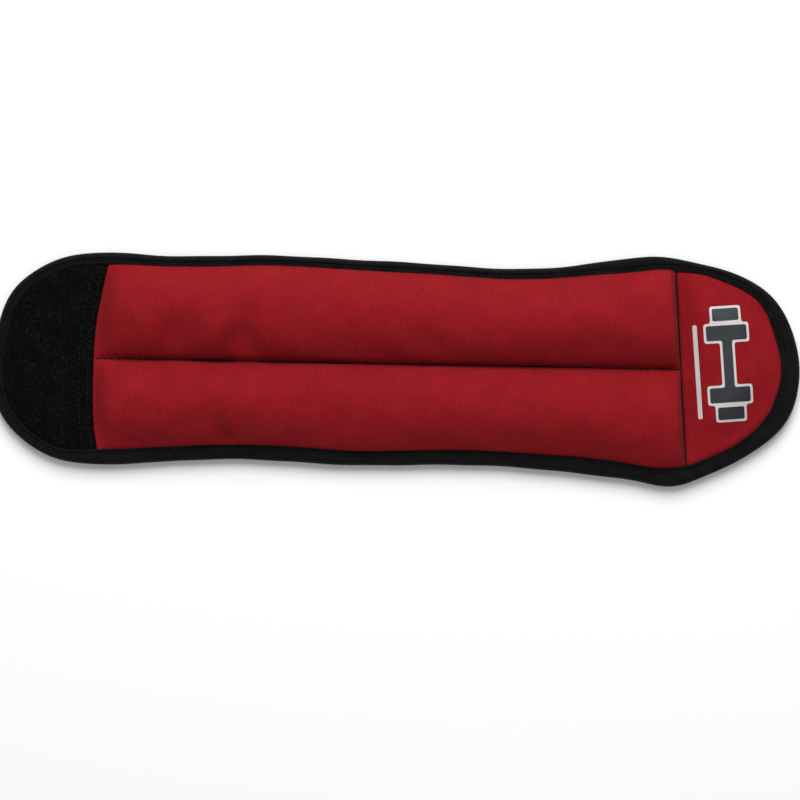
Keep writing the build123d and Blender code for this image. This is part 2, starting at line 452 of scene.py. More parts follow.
def red_knit():
    """Foam-backed knitted nylon: matt, faintly flecked, with fine wales."""
    s = Shader("red_knit", Roughness=0.88, Sheen_Weight=0.02, Sheen_Roughness=0.5,
               Specular_IOR_Level=0.06)
    flecks = s.noise(0.9 * MM, detail=2.5)
    patches = s.noise(14 * MM)
    streaks = s.noise(0.8 * MM, detail=2.0, stretch=(1, 0.12))
    mixed = s.math("ADD", s.math("MULTIPLY", flecks, 0.42), s.math("MULTIPLY", patches, 0.30))
    mixed = s.math("ADD", mixed, s.math("MULTIPLY", streaks, 0.28))
    s.color(mixed, [(0.30, (0.190, 0.0056, 0.0092)), (0.50, (0.252, 0.0079, 0.0122)),
                    (0.70, (0.315, 0.0115, 0.0170))])
    s.knit(0.62 * MM, 0.50 * MM, 0.10 * MM)
    s.bump(s.noise(0.45 * MM, detail=2.0), 0.09 * MM)
    s.bump(s.noise(5 * MM, detail=2.0), 0.18 * MM)
    return s.material


def black_tape():
    """Ribbed binding tape, with a dull shine along the fold."""
    s = Shader("black_tape", Roughness=0.68, Sheen_Weight=0.01, Sheen_Roughness=0.4,
               Specular_IOR_Level=0.08)
    s.color(s.noise(6 * MM, detail=4.0),
            [(0.3, (0.0024, 0.0023, 0.0027)), (0.7, (0.0062, 0.0058, 0.0064))])
    s.bump(s.ribs(0.75 * MM, distortion=0.3), 0.13 * MM)
    s.bump(s.ribs(0.42 * MM, turn=math.pi / 2, distortion=0.3), 0.05 * MM)
    s.bump(s.noise(2.5 * MM), 0.10 * MM)
    return s.material


def black_knit():
    """The lining: a close black knit on thin foam."""
    s = Shader("black_knit", Roughness=0.88, Sheen_Weight=0.03, Sheen_Roughness=0.5,
               Specular_IOR_Level=0.12)
    s.color(s.noise(1.1 * MM),
            [(0.3, (0.0055, 0.0055, 0.006)), (0.7, (0.0135, 0.0135, 0.0145))])
    s.knit(0.70 * MM, 0.55 * MM, 0.14 * MM, distortion=0.5)
    s.bump(s.noise(4 * MM, detail=2.0), 0.15 * MM)
    return s.material


def loop_pile():
    """Brushed loops: rough, mottled and almost black."""
    s = Shader("loop_pile", Roughness=0.95, Sheen_Weight=0.01, Sheen_Roughness=0.6,
               Specular_IOR_Level=0.03)
    mottle = s.noise(1.7 * MM, detail=4.0)
    broad = s.noise(9 * MM, detail=2.0)
    mixed = s.math("ADD", s.math("MULTIPLY", mottle, 0.7), s.math("MULTIPLY", broad, 0.3))
    s.color(mixed, [(0.36, (0.0012, 0.0012, 0.0013)), (0.52, (0.0028, 0.0028, 0.0028)),
                    (0.68, (0.0075, 0.0072, 0.0070))])
    s.bump(s.cells(0.8 * MM), 0.35 * MM)
    s.bump(s.noise(0.35 * MM), 0.16 * MM)
    return s.material


def black_thread():
    """Sewing thread with its plies twisted along it."""
    s = Shader("black_thread", Roughness=0.6, Sheen_Weight=0.02, Specular_IOR_Level=0.12)
    s.color(s.noise(1.5 * MM),
            [(0.3, (0.0030, 0.0028, 0.0030)), (0.7, (0.0075, 0.0070, 0.0075))])
    s.bump(s.ribs(0.5 * MM, turn=math.radians(35)), 0.08 * MM)
    return s.material


def hook_plastic():
    """Hook tape: woven ground with stiff moulded hooks."""
    s = Shader("hook_plastic", Roughness=0.42, Specular_IOR_Level=0.5)
    s.color(s.noise(1.2 * MM), [(0.3, (0.006, 0.006, 0.0065)), (0.7, (0.015, 0.015, 0.016))])
    s.bump(s.ribs(0.6 * MM), 0.08 * MM)
    s.bump(s.ribs(0.6 * MM, turn=math.pi / 2), 0.08 * MM)
    return s.material


def printed_ink(name, dark, light):
    """Screen ink: a thin film that shows the knit under it and wears at its grain."""
    s = Shader(name, Roughness=0.5, Specular_IOR_Level=0.4)
    s.color(s.noise(0.8 * MM, detail=4.0), [(0.32, dark), (0.55, light)])
    s.knit(0.62 * MM, 0.50 * MM, 0.05 * MM)
    return s.material


def plain_cloth(name, dark, light, size, depth, roughness=0.9):
    """Cloth, foam or shot that the cover hides: an even grain and plain bumps."""
    s = Shader(name, Roughness=roughness, Sheen_Weight=0.1)
    s.color(s.noise(size, detail=4.0), [(0.3, dark), (0.7, light)])
    s.bump(s.cells(size), depth)
    return s.material


RED = red_knit()
TAPE = black_tape()
LINING = black_knit()
PILE = loop_pile()
BLACK_THREAD = black_thread()
HOOKS = hook_plastic()
WHITE_INK = printed_ink("white_ink", (0.50, 0.465, 0.47), (0.60, 0.57, 0.575))
DARK_INK = printed_ink("dark_ink", (0.008, 0.011, 0.015), (0.015, 0.021, 0.026))
POUCH = plain_cloth("pouch_cloth", (0.42, 0.42, 0.40), (0.58, 0.58, 0.55), 0.5 * MM, 0.08 * MM)
FOAM = plain_cloth("foam_sheet", (0.035, 0.035, 0.037), (0.07, 0.07, 0.072), 0.9 * MM, 0.3 * MM)
SHOT = plain_cloth("iron_shot", (0.05, 0.047, 0.044), (0.16, 0.15, 0.14), 1.1 * MM, 0.6 * MM,
                   roughness=0.45)

# ---- the red face, by cloth simulation

FACE_THICK = 1.3 * MM
FACE_HEM = 7 * MM  # how far the face runs on under the loop panel
HEM_DROP = 1.0 * MM
CHANNEL_RISE = CROWN - FACE_FLAT - 0.8 * MM
END_RISE = 7.5 * MM
PIN_TUCK = 1.2 * MM  # how far under the binding the face is sewn down
SIDE_REACH = 165 * MM
SEAM_GROOVE = 1.4 * MM
STITCH_PITCH = 3.1 * MM
SIM_STEP = 2.6 * MM
SIM_FRAMES = 24
SIM_REACH = 4 * MM  # the furthest that a point of the cloth may move
SIM_CALM = 8  # how often the cloth's movement is averaged
ACROSS = 20  # points over each channel, from seam to seam
FINE = 3  # how much finer the finished grid is than the simulated one
CLOTH = {
    "quality": 8, "mass": 0.25, "use_pressure": True, "uniform_pressure_force": 5.0,
    "shrink_min": -0.006, "tension_stiffness": 20, "compression_stiffness": 20,
    "shear_stiffness": 8, "bending_stiffness": 6.0,
}


def edge_line(front, inset):
    """The line a distance in from the edge, on the front or rear side, as sorted x and y."""
    line = OUTLINE + INWARD * np.reshape(inset, (-1, 1))
    side = ((OUTLINE[:, 1] < 0) == front) & (np.abs(line[:, 0]) < SIDE_REACH)
    order = np.argsort(line[side, 0])
    return line[side, 0][order], line[side, 1][order]


def station_x(place, y):
    """X of a column of the face at a place from 0 to 6: one unit for each zone."""
    zone = min(int(place), HOOK_ZONE)
    low = loop_border(y) - FACE_HEM if zone == LOOP_ZONE else CUTS[zone - 1]
    high = cross_seam(y) if zone == HOOK_ZONE else CUTS[zone]
    return lerp(low, high, place - zone) + 0 * y


def face_places():
    """The columns of the simulated grid, evenly spaced within each zone."""
    places = []
    for zone in range(HOOK_ZONE + 1):
        length = station_x(zone + 0.9999, 0.0) - station_x(zone, 0.0)
        count = int(round(length / SIM_STEP))
        places += [zone + n / count for n in range(count)]
    return places + [HOOK_ZONE + 1.0]


def padding_rise(place):
    """How high the padding stands over the flat face at a column: lower at both of its ends."""
    x = station_x(place, 0.0)
    from_loop = x - loop_border(0.0)
    from_seam = cross_seam(0.0) - x
    if from_loop < 0:
        return 0.0
    rise = lerp(END_RISE, CHANNEL_RISE, smooth(from_loop / (26 * MM)))
    rise *= smooth(from_loop / (10 * MM)) ** 0.65
    rise *= lerp(0.92, 1.0, smooth(from_seam / (20 * MM)))
    return rise * math.sqrt(min(1.0, from_seam / (3 * MM)))


def arch(start, end, rise):
    """Points along an arc from one seam to another: distances across, and heights."""
    half = abs(end - start) / 2
    rise = max(rise, 0.02 * MM)
    radius = (half**2 + rise**2) / (2 * rise)
    angle = np.linspace(-1, 1, ACROSS) * math.asin(min(1.0, half / radius))
    middle = (start + end) / 2
    return middle + radius * np.sin(angle), radius * np.cos(angle) - (radius - rise)


def face_rest(places):
    """The face as it is sewn, as a grid: two arched channels between three seams."""
    pins = {front: edge_line(front, FOLD - PIN_TUCK) for front in (True, False)}
    hems = {front: edge_line(front, HIDDEN_INSET) for front in (True, False)}
    columns = []
    for place in places:
        ends = []
        for front, y in ((True, -SIDE_Y), (False, SIDE_Y)):
            x = station_x(place, y)
            ends.append((np.interp(x, *hems[front]), np.interp(x, *pins[front])))
        rise = padding_rise(place)
        lower_y, lower_z = arch(ends[0][1], SEAM_Y, rise)
        upper_y, upper_z = arch(SEAM_Y, ends[1][1], rise)
        y = np.concatenate([[ends[0][0]], lower_y, upper_y[1:], [ends[1][0]]])
        z = np.concatenate([[0.0], lower_z, upper_z[1:], [0.0]])
        columns.append(np.stack([station_x(place, y), y, FACE_FLAT + z], axis=1))
    return np.array(columns)


def calmer(field):
    """A grid of values, each averaged with its neighbours along and across."""
    for axis in (0, 1):
        width = [(1, 1) if k == axis else (0, 0) for k in range(field.ndim)]
        wide = np.swapaxes(np.pad(field, width, mode="edge"), 0, axis)
        field = np.swapaxes((wide[:-2] + 2 * wide[1:-1] + wide[2:]) / 4, 0, axis)
    return field


def inflate(grid, pinned):
    """Blows a sewn sheet up as cloth, held along its seams, and gives its new grid."""
    rows, columns = grid.shape[:2]
    cover = mesh_object("cover_in_the_making", grid.reshape(-1, 3), grid_faces(rows, columns))
    group = cover.vertex_groups.new(name="seams")
    group.add([int(n) for n in np.flatnonzero(pinned)], 1.0, "REPLACE")
    cloth = cover.modifiers.new("cloth", "CLOTH")
    for key, value in CLOTH.items():
        setattr(cloth.settings, key, value)
    cloth.settings.vertex_group_mass = group.name
    cloth.settings.effector_weights.gravity = 0
    cloth.collision_settings.use_collision = False
    cloth.collision_settings.use_self_collision = False
    cloth.point_cache.frame_start = 1
    cloth.point_cache.frame_end = SIM_FRAMES
    scene = bpy.context.scene
    for frame_number in range(1, SIM_FRAMES + 1):
        scene.frame_set(frame_number)
    shape = cover.evaluated_get(bpy.context.evaluated_depsgraph_get()).to_mesh()
    points = np.zeros(len(shape.vertices) * 3)
    shape.vertices.foreach_get("co", points)
    scene.frame_set(1)
    bpy.data.objects.remove(cover)
    moved = points.reshape(grid.shape) - grid
    distance = np.linalg.norm(moved, axis=2, keepdims=True)
    moved *= np.minimum(1.0, SIM_REACH / np.maximum(distance, 1e-9))
    for _ in range(SIM_CALM):
        moved = calmer(moved) * ~pinned[..., None]
    return grid + moved


def finer(grid, factor):
    """A grid with more rows and columns, through the same points."""
    for axis in (0, 1):
        grid = np.swapaxes(grid, 0, axis)
        count = (len(grid) - 1) * factor + 1
        grid = resample(grid, np.linspace(0, len(grid) - 1, count))
        grid = np.swapaxes(grid, 0, axis)
    return grid


# Each dent in the padding, or each ridge where the depth is below zero: its centre along and
# across, its half lengths, its turn in degrees and its depth. Lengths are in mm.
DENTS = [
    (-102, 14, 9, 9, -25, 3.1), (-82, 17, 6, 12, -12, -3.0), (-70, 12, 7, 11, 15, 2.5),
    (-58, 12, 8, 11, 0, -1.3), (-93, -35, 6, 7, 0, -0.9), (-90, -26, 7, 6, 0, 1.2),
    (-78, -36, 4.5, 8, 25, 3.3), (-118, -40, 16, 8, 0, 1.5), (-60, 32, 12, 8, 0, -0.7),
    (-30, 14, 16, 8, 0, 0.6), (22, 10, 14, 9, 0, 0.6), (52, 36, 16, 7, 0, 1.6),
    (84, 12, 12, 10, 0, 1.0), (36, 24, 18, 10, 0, -0.6), (-36, -34, 18, 8, 0, 0.9),
    (22, -36, 16, 7, 0, 0.9), (66, -36, 16, 8, 0, 0.9), (36, -20, 3, 14, -8, -0.6),
    (52, -22, 3, 12, 6, -0.5), (104, 30, 8, 12, 0, 0.9), (6, 38, 16, 8, 0, 0.6),
    (0, -12, 150, 15, 0, -1.3), (-92, -13, 30, 14, 0, -0.9),
]


def face_surface():
    """The red face's outer surface as a fine grid, and the grid row where each zone begins."""
    places = face_places()
    rest = face_rest(places)
    x = rest[..., 0]
    pinned = np.zeros(rest.shape[:2], bool)
    pinned[:, [0, 1, ACROSS, -2, -1]] = True
    pinned[x < loop_border(rest[..., 1])] = True
    pinned[-1] = True
    blown = inflate(rest, pinned)
    fine = finer(blown, FINE)
    starts = [FINE * places.index(float(zone)) for zone in range(HOOK_ZONE + 1)]
    return sculpt_face(fine), finer(rest, FINE), starts + [len(fine) - 1]


def sculpt_face(grid):
    """Presses the hollows, the sewn lines and their puckers into the padding."""
    x, y, z = (grid[..., k] for k in range(3))
    full = smooth((z - FACE_FLAT) / (6 * MM))
    depth = np.zeros(x.shape)
    for along, across, length, width, turn, amount in DENTS:
        cos, sin = math.cos(math.radians(turn)), math.sin(math.radians(turn))
        dx, dy = x / MM - along, y / MM - across
        reach = ((dx * cos + dy * sin) / length) ** 2 + ((dy * cos - dx * sin) / width) ** 2
        depth += amount * MM * np.exp(-reach)
    depth += 0.50 * MM * waves(x, y, 38 * MM, seed=3)
    depth += 0.07 * MM * waves(x, y, 11 * MM, seed=4, octaves=2)
    grid = grid - grid_normals(grid) * (depth * full)[..., None]
    stitch = 0.5 + 0.5 * np.cos(2 * math.pi * x / STITCH_PITCH)
    groove = bump(y, SEAM_Y, SEAM_GROOVE) * (1.25 + 0.2 * stitch) * MM
    groove += 0.35 * MM * bump(y, SEAM_Y, 5 * MM) * waves(x, 0 * y, 15 * MM, seed=6)
    groove *= smooth((x - loop_border(y)) / (4 * MM))
    grid[..., 2] = np.maximum(grid[..., 2] - groove, FACE_FLAT - 1.0 * MM)
    grid[..., 2] -= HEM_DROP * smooth((loop_border(y) - x) / (1.6 * MM))
    return grid


def cloth_uv(rest, middle):
    """Lengths along and across a grid, measured over its surface from one of its rows."""
    steps = np.linalg.norm(np.diff(rest, axis=1), axis=2)
    across = np.concatenate([np.zeros((len(rest), 1)), np.cumsum(steps, axis=1)], axis=1)
    across -= across[:, middle:middle + 1]
    return np.stack([rest[..., 0], across], axis=2)


def make_face():
    """The red face in six strips, one over each hinge."""
    top, rest, starts = face_surface()
    uv = cloth_uv(rest, ACROSS * FINE)
    bottom = top - grid_normals(top) * FACE_THICK
    for zone in range(HOOK_ZONE + 1):
        rows = slice(starts[zone], starts[zone + 1] + 1)
        piece = slab(f"face_{zone}", top[rows], bottom[rows], uv[rows])
        fasten(piece, RED, zone_nodes("face_panel", zone))
    return top, bottom, starts


# ---- stitches

STITCH_LENGTH = 3.02 * MM
THREAD_RADIUS = 0.32 * MM


def stitches(path, pitch=STITCH_PITCH, length=STITCH_LENGTH, radius=THREAD_RADIUS, up=1):
    """A line of stitches, each an arc of thread that stands up or down, as rings of points."""
    reach = lengths(path)
    count = max(1, int(reach[-1] / pitch))
    pitch = reach[-1] / count
    ends = np.linspace(-length / 2, length / 2, 7)
    share = 2 * ends / length
    thick = radius * np.sqrt(np.maximum(0.16, 1 - share**8))
    lift = radius * (0.5 - 0.5 * share**4)
    turn = np.linspace(0, 2 * math.pi, 8, endpoint=False)
    over = np.array([0.0, 0.0, up])
    shapes = []
    for n in range(count):
        along = pitch * (n + 0.5) + ends
        centre = np.stack([np.interp(along, reach, path[:, k]) for k in range(3)], axis=1)
        ahead = np.gradient(centre, axis=0)
        ahead /= np.linalg.norm(ahead, axis=1, keepdims=True)
        side = np.cross(over, ahead)
        ring = centre[:, None] + over * (lift[:, None] + thick[:, None] * np.sin(turn))[..., None]
        shapes.append(ring + side[:, None] * (thick[:, None] * np.cos(turn))[..., None])
    return shapes


def tubes(name, shapes):
    """One object from several closed tubes, each given as rings of points, with outward faces."""
    points, faces, uvs = [], [], []
    start = 0
    for rings in shapes:
        rows, columns = rings.shape[:2]
        end = start + rows * columns
        faces += grid_faces(rows, columns, start, wrap=True)
        faces.append(list(range(start, start + columns)))
        faces.append(list(range(end - 1, end - columns - 1, -1)))
        points.append(rings.reshape(-1, 3))
        uv = np.meshgrid(lengths(rings.mean(axis=1)), lengths(rings[0]), indexing="ij")
        uvs.append(np.stack(uv, axis=2).reshape(-1, 2))
        start = end
    piece = mesh_object(name, np.concatenate(points), faces, np.concatenate(uvs))
    mesh = bmesh.new()
    mesh.from_mesh(piece.data)
    bmesh.ops.recalc_face_normals(mesh, faces=mesh.faces)
    mesh.to_mesh(piece.data)
    mesh.free()
    return piece


def sew(name, nodes, shapes):
    """One piece of black thread over a zone's hinge, from the rings of its stitches."""
    fasten(tubes(name, shapes), BLACK_THREAD, nodes)


# ---- the folded edge binding

GROOVE_BACK = 2.1 * MM  # from the stitched groove to the fold's own edge
EDGE_ROUND = 2.2 * MM
THREAD_SINK = 0.62 * MM
RING_STEP = 0.9 * MM


def binding_section(upper, lower, pinch):
    """The folded tape's closed section, as insets and heights: out over the top and back."""
    middle = (BINDING_LOW + BINDING_HIGH) / 2
    tall = (BINDING_HIGH - BINDING_LOW) / 2
    shares = np.linspace(0, 1, 15)
    turn = np.linspace(0, math.pi / 2, 8)

    def fold(width, sign):
        inset = width * (1 - shares) + EDGE_ROUND * shares
        lip = 0.375 * smooth(1 - (width - inset) / (0.9 * MM))
        height = tall - MM * (pinch * bump(inset, width - GROOVE_BACK, 0.75 * MM) + lip)
        round_inset = EDGE_ROUND * (1 - np.sin(turn[1:]))
        round_height = tall * np.cos(turn[1:])
        return (np.concatenate([inset, round_inset]),
                middle + sign * np.concatenate([height, round_height]))

    top_inset, top_height = fold(upper, 1)
    low_inset, low_height = fold(lower, -1)
    outer = np.stack([np.concatenate([top_inset, low_inset[-2::-1]]),
                      np.concatenate([top_height, low_height[-2::-1]])], axis=1)
    floor, ceiling = BINDING_LOW + BINDING_TAPE, BINDING_HIGH - BINDING_TAPE
    corner, rise = 1.1 * BINDING_TAPE, 0.3 * BINDING_TAPE
    inner = np.array([(lower - 0.1 * MM, floor), (lower / 2, floor), (corner, floor + rise),
                      (corner, ceiling - rise), (upper / 2, ceiling), (upper - 0.1 * MM, ceiling)])
    return np.concatenate([outer, inner])


def folds_at(places):
    """The binding's width at places along the outline."""
    return resample(np.append(FOLD, FOLD[:2])[:, None], np.mod(places, len(OUTLINE)))[:, 0]


def binding_rings(first, last):
    """Rings of the binding between two places along the outline."""
    count = max(8, int(round((last - first) * OUTLINE_STEP / RING_STEP)))
    places = np.linspace(first, last, count + 1)
    rings = []
    for place, width in zip(places, folds_at(places)):
        along = place * OUTLINE_STEP
        pinch = 0.75 + 0.25 * math.cos(2 * math.pi * along / STITCH_PITCH)
        pinch *= 1 + 0.25 * math.sin(2 * math.pi * along / (23 * MM))
        section = binding_section(width, BOTH_FOLDS - width, pinch)
        swell = 0.10 * MM * math.sin(2 * math.pi * along / (31 * MM) + 1.0)
        flat = inset_point(np.full(len(section), place), section[:, 0] + swell)
        rings.append(np.column_stack([flat, section[:, 1]]))
    return np.array(rings)


def stretches():
    """For each zone, the stretches of outline within it, as pairs of places."""
    front = [meets(straight(x), True)[0] for x in CUTS]
    rear = [meets(straight(x), False)[0] for x in CUTS]
    whole = len(OUTLINE)
    spans = [[(rear[0], whole + front[0])]]
    for a in range(SEGMENTS - 1):
        spans.append([(front[a], front[a + 1]), (rear[a + 1], rear[a])])
    spans.append([(front[-1], rear[-1])])
    return spans


def level(path, height):
    """A line in plan, at one height."""
    return np.column_stack([path, np.full(len(path), height)])


def stitch_path(first, last, upper):
    """The line of stitches in the binding's groove, above or below."""
    places = np.linspace(first, last, int((last - first) * OUTLINE_STEP / MM) + 2)
    widths = folds_at(places) if upper else BOTH_FOLDS - folds_at(places)
    flat = inset_point(places, widths - GROOVE_BACK)
    return level(flat, BINDING_HIGH - THREAD_SINK if upper else BINDING_LOW + THREAD_SINK)


def make_binding():
    """The edge tape and its stitches, in one piece for each zone."""
    for zone, spans in enumerate(stretches()):
        tape = tubes(f"edge_tape_{zone}", [binding_rings(*span) for span in spans])
        fasten(tape, TAPE, zone_nodes("binding", zone, ends=True))
        thread = []
        for span in spans:
            thread += stitches(stitch_path(*span, upper=True), up=1)
            thread += stitches(stitch_path(*span, upper=False), up=-1)
        nodes = zone_nodes("binding_thread", zone, ends=True)
        sew(f"binding_stitches_{zone}", nodes, thread)


# ---- flat panels that fill an end

LOOP_LINES = (2.6 * MM, 7.0 * MM)
LOOP_THREAD_SINK = 0.90 * MM
FOAM_THICK = 1.4 * MM


def end_grid(base, first, last, inset, rows):
    """A grid from a line across the strap out to a stretch of its edge, set in by an inset."""
    rim = inset_point(np.linspace(first, last, len(base)), inset)
    return lerp(base[None], rim[None], np.linspace(0, 1, rows)[:, None, None])


def line_across(x_of_y, front_y, rear_y, columns):
    """A line across the strap, whose x may change with y."""
    y = np.linspace(front_y, rear_y, columns)
    return np.stack([x_of_y(y), y], axis=1)


def end_sheet(x_of_y, inset, rows, columns, loop_end=False):
    """A grid from a line across the strap out to the edge that lies beyond it."""
    first, first_y = meets(x_of_y, not loop_end, inset)
    last, last_y = meets(x_of_y, loop_end, inset)
    last = last if last > first else last + len(OUTLINE)
    base = line_across(x_of_y, first_y, last_y, columns)
    return end_grid(base, first, last, inset, rows)


def raised(flat, height):
    """A plan grid with heights added."""
    return np.concatenate([flat, height[..., None]], axis=2)


def make_loop_panel():
    """The loop panel: a thick brushed pile, pressed flat by two stitched lines at its border."""
    flat = end_sheet(loop_border, HIDDEN_INSET, rows=92, columns=190, loop_end=True)
    x, y = flat[..., 0], flat[..., 1]
    inset, width = from_edge(flat)
    from_border = loop_border(y) - x
    inside = smooth((inset - width + 0.6 * MM) / (3.2 * MM))
    height = FACE_FLAT + inside * (LOOP_TOP - FACE_FLAT - 0.25 * MM)
    hem = smooth(1 - (from_border - 7.5 * MM) / (3 * MM))
    height -= inside * 0.35 * MM * hem
    for line in LOOP_LINES:
        height -= inside * 0.40 * MM * bump(from_border, line, 0.7 * MM)
    height -= inside * 0.5 * MM * smooth(1 - from_border / (0.8 * MM))
    pile = waves(x, y, 2.3 * MM, seed=21, octaves=3) + 0.6 * waves(x, y, 7 * MM, seed=22)
    height += inside * (1 - 0.6 * hem) * 0.16 * MM * pile
    height += inside * 0.45 * MM * waves(x, y, 42 * MM, seed=23, octaves=2)
    top = raised(flat, np.maximum(height, FACE_FLAT - 0.2 * MM))
    under = FACE_FLAT - 1.2 * MM + inside * 1.25 * MM * smooth(1 - from_border / (9 * MM))
    piece = slab("loop_panel_pile", top, raised(flat, under), flat)
    fasten(piece, PILE, ["loop_panel"])
    thread = []
    ys = [meets(loop_border, front, FOLD)[1] for front in (True, False)]
    for line in LOOP_LINES:
        path = line_across(lambda y: loop_border(y) - line, *ys, 160)
        path = level(path, LOOP_TOP - LOOP_THREAD_SINK)
        thread += stitches(path, pitch=2.7 * MM, length=2.0 * MM)
    sew("loop_panel_stitches", ["loop_seam_thread"], thread)


def make_foam():
    """The foam sheet that the loop panel hides, up to the face's hem."""

    def edge(y):
        return loop_border(y) - FACE_HEM - 1 * MM

    flat = end_sheet(edge, 2 * HIDDEN_INSET, rows=40, columns=90, loop_end=True)
    height = np.full(flat.shape[:2], FACE_FLAT - 1.4 * MM)
    under = raised(flat, height - FOAM_THICK)
    piece = slab("loop_end_foam_sheet", raised(flat, height), under, flat)
    fasten(piece, FOAM, ["loop_end_foam"])


CAP_DOME = 4.0 * MM
CAP_TILT = 2.2 * MM
CAP_THICK = 1.6 * MM


def cap_height(x, y, inset, width):
    """The hook end's face: softly domed on its foam, drawn down at the seam and the binding."""
    inside = smooth((inset - width + 2.4 * MM) / (21 * MM))
    from_seam = x - cross_seam(y)
    tilt = CAP_TILT * smooth((y + 42 * MM) / (44 * MM))
    dome = (CAP_DOME + tilt) * inside * smooth(from_seam / (14 * MM))
    lip = 1.3 * MM * smooth(from_seam / (1.8 * MM)) * smooth((inset - width + 1 * MM) / (3 * MM))
    rough = 0.22 * MM * waves(x, y, 30 * MM, seed=31) * inside
    return FACE_FLAT - 0.6 * MM + dome + 0.6 * lip + rough * smooth(from_seam / (5 * MM))


def make_cap():
    """The hook end's face panel."""
    flat = end_sheet(cross_seam, HIDDEN_INSET, rows=62, columns=130)
    inset, width = from_edge(flat)
    top = raised(flat, cap_height(flat[..., 0], flat[..., 1], inset, width))
    bottom = raised(flat, np.full(inset.shape, FACE_FLAT - CAP_THICK))
    piece = slab("hook_end_face", top, bottom, flat)
    fasten(piece, RED, ["end_panel"])


# ---- the lining

LINING_THICK = 1.5 * MM
LINING_FLANGE = 1.1 * MM
LINING_COLUMNS = 110
LINING_ENDS = {LOOP_ZONE: (CUTS[0], 80), HOOK_ZONE: (CUTS[-1], 84)}  # each end's cut, and its rows
HOOK_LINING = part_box("hook_end_lining")[0].z


def lining_height(flat):
    """The back of the strap: flat on the table, but drawn up at the seams and the edges."""
    x, y = flat[..., 0], flat[..., 1]
    inset, width = from_edge(flat)
    inside = smooth((inset - (BOTH_FOLDS - width) + 0.6 * MM) / (3.5 * MM))
    height = LINING_FLANGE * (1 - inside) + 0.12 * MM
    padded = smooth((x - loop_border(y)) / (4 * MM)) * smooth((cross_seam(y) - x) / (4 * MM))
    height += 0.7 * MM * bump(y, SEAM_Y, 1.6 * MM) * padded
    height += 0.6 * MM * bump(x, loop_border(y) - LOOP_LINES[0], 1.3 * MM) * inside
    at_hook = smooth((x - HOOK_HINGE + 5 * MM) / (7 * MM)) * inside
    height = lerp(height, HOOK_LINING + 0.1 * MM, at_hook)
    quilt = 0.12 * MM * (1 + waves(x, y, 26 * MM, seed=41)) * inside
    return height + quilt * (1 - at_hook)


def make_lining():
    """The lining in six pieces, with the middle ones ruled across and the ends filled in."""
    for zone, spans in enumerate(stretches()):
        if zone in LINING_ENDS:
            cut_x, rows = LINING_ENDS[zone]
            first, last = spans[0]
            ys = inset_point(np.array([first, last]), HIDDEN_INSET)[:, 1]
            base = line_across(straight(cut_x), *ys, LINING_COLUMNS)
            flat = end_grid(base, first, last, HIDDEN_INSET, rows)
        else:
            x = np.linspace(CUTS[zone - 1], CUTS[zone], 56)
            share = np.linspace(0, 1, LINING_COLUMNS)
            front, rear = (np.interp(x, *edge_line(side, HIDDEN_INSET)) for side in (True, False))
            y = lerp(front[:, None], rear[:, None], share[None])
            flat = np.stack([np.broadcast_to(x[:, None], y.shape), y], axis=2)
        height = lining_height(flat)
        inner = raised(flat, height + LINING_THICK)
        piece = slab(f"lining_sheet_{zone}", inner, raised(flat, height), flat)
        nodes = zone_nodes("lining", zone, ends=True)
        fasten(piece, LINING, nodes)


# ---- seams across and along the face


def make_centre_stitches(top, starts):
    """The stitches that divide the two channels, one piece for each zone."""
    row = ACROSS * FINE
    for zone in range(HOOK_ZONE + 1):
        path = top[starts[zone]:starts[zone + 1] + 1, row].copy()
        path = path[path[:, 0] > loop_border(SEAM_Y)]
        path[:, 2] += 0.10 * MM
        nodes = zone_nodes("centre_thread", zone)
        sew(f"centre_stitches_{zone}", nodes, stitches(path))


def make_cross_stitches():
    """The stitches where the padding meets the hook end's face."""
    ys = [meets(cross_seam, front, FOLD - 0.5 * MM)[1] for front in (True, False)]
    path = line_across(lambda y: cross_seam(y) + 0.5 * MM, *ys, 160)
    path = level(path, FACE_FLAT - 0.25 * MM)
    thread = stitches(path, length=3.05 * MM, radius=0.38 * MM)
    sew("cross_seam_stitches", ["end_seam_thread"], thread)


# ---- the hook tape

TAPE_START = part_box("hook_tape")[0].x
TAPE_INSET = 11 * MM
TAPE_STITCH_INSET = 13.4 * MM
TAPE_MARGIN = 3.2 * MM
HOOK_PITCH = 1.55 * MM
HOOK_CURL = 0.22 * MM
HOOK_THICK = 0.15 * MM
TAPE_GROUND = 0.5 * MM


def hook_shape(x, y, lean):
    """One moulded hook: a stem that rises from the tape and curls over at its tip."""
    reach = TAPE_TOP - TAPE_GROUND - 0.06 * MM
    turn = np.linspace(0, 1, 6)
    curl = np.maximum(0, turn - 0.45) / 0.55 * math.radians(150)
    along = HOOK_CURL * (1 - np.cos(curl)) * lean
    depth = reach * np.minimum(turn / 0.62, 1.0) + 0.6 * HOOK_CURL * (np.sin(curl) - 1)
    depth = np.clip(depth, 0, reach)
    thick = HOOK_THICK * (1 - 0.35 * turn)
    angle = np.linspace(0, 2 * math.pi, 5, endpoint=False)
    rings = np.zeros((len(turn), len(angle), 3))
    rings[..., 0] = (x + along)[:, None] + thick[:, None] * np.cos(angle)
    rings[..., 1] = y + thick[:, None] * np.sin(angle)
    rings[..., 2] = (TAPE_TOP - TAPE_GROUND + 0.1 * MM - depth)[:, None]
    return rings


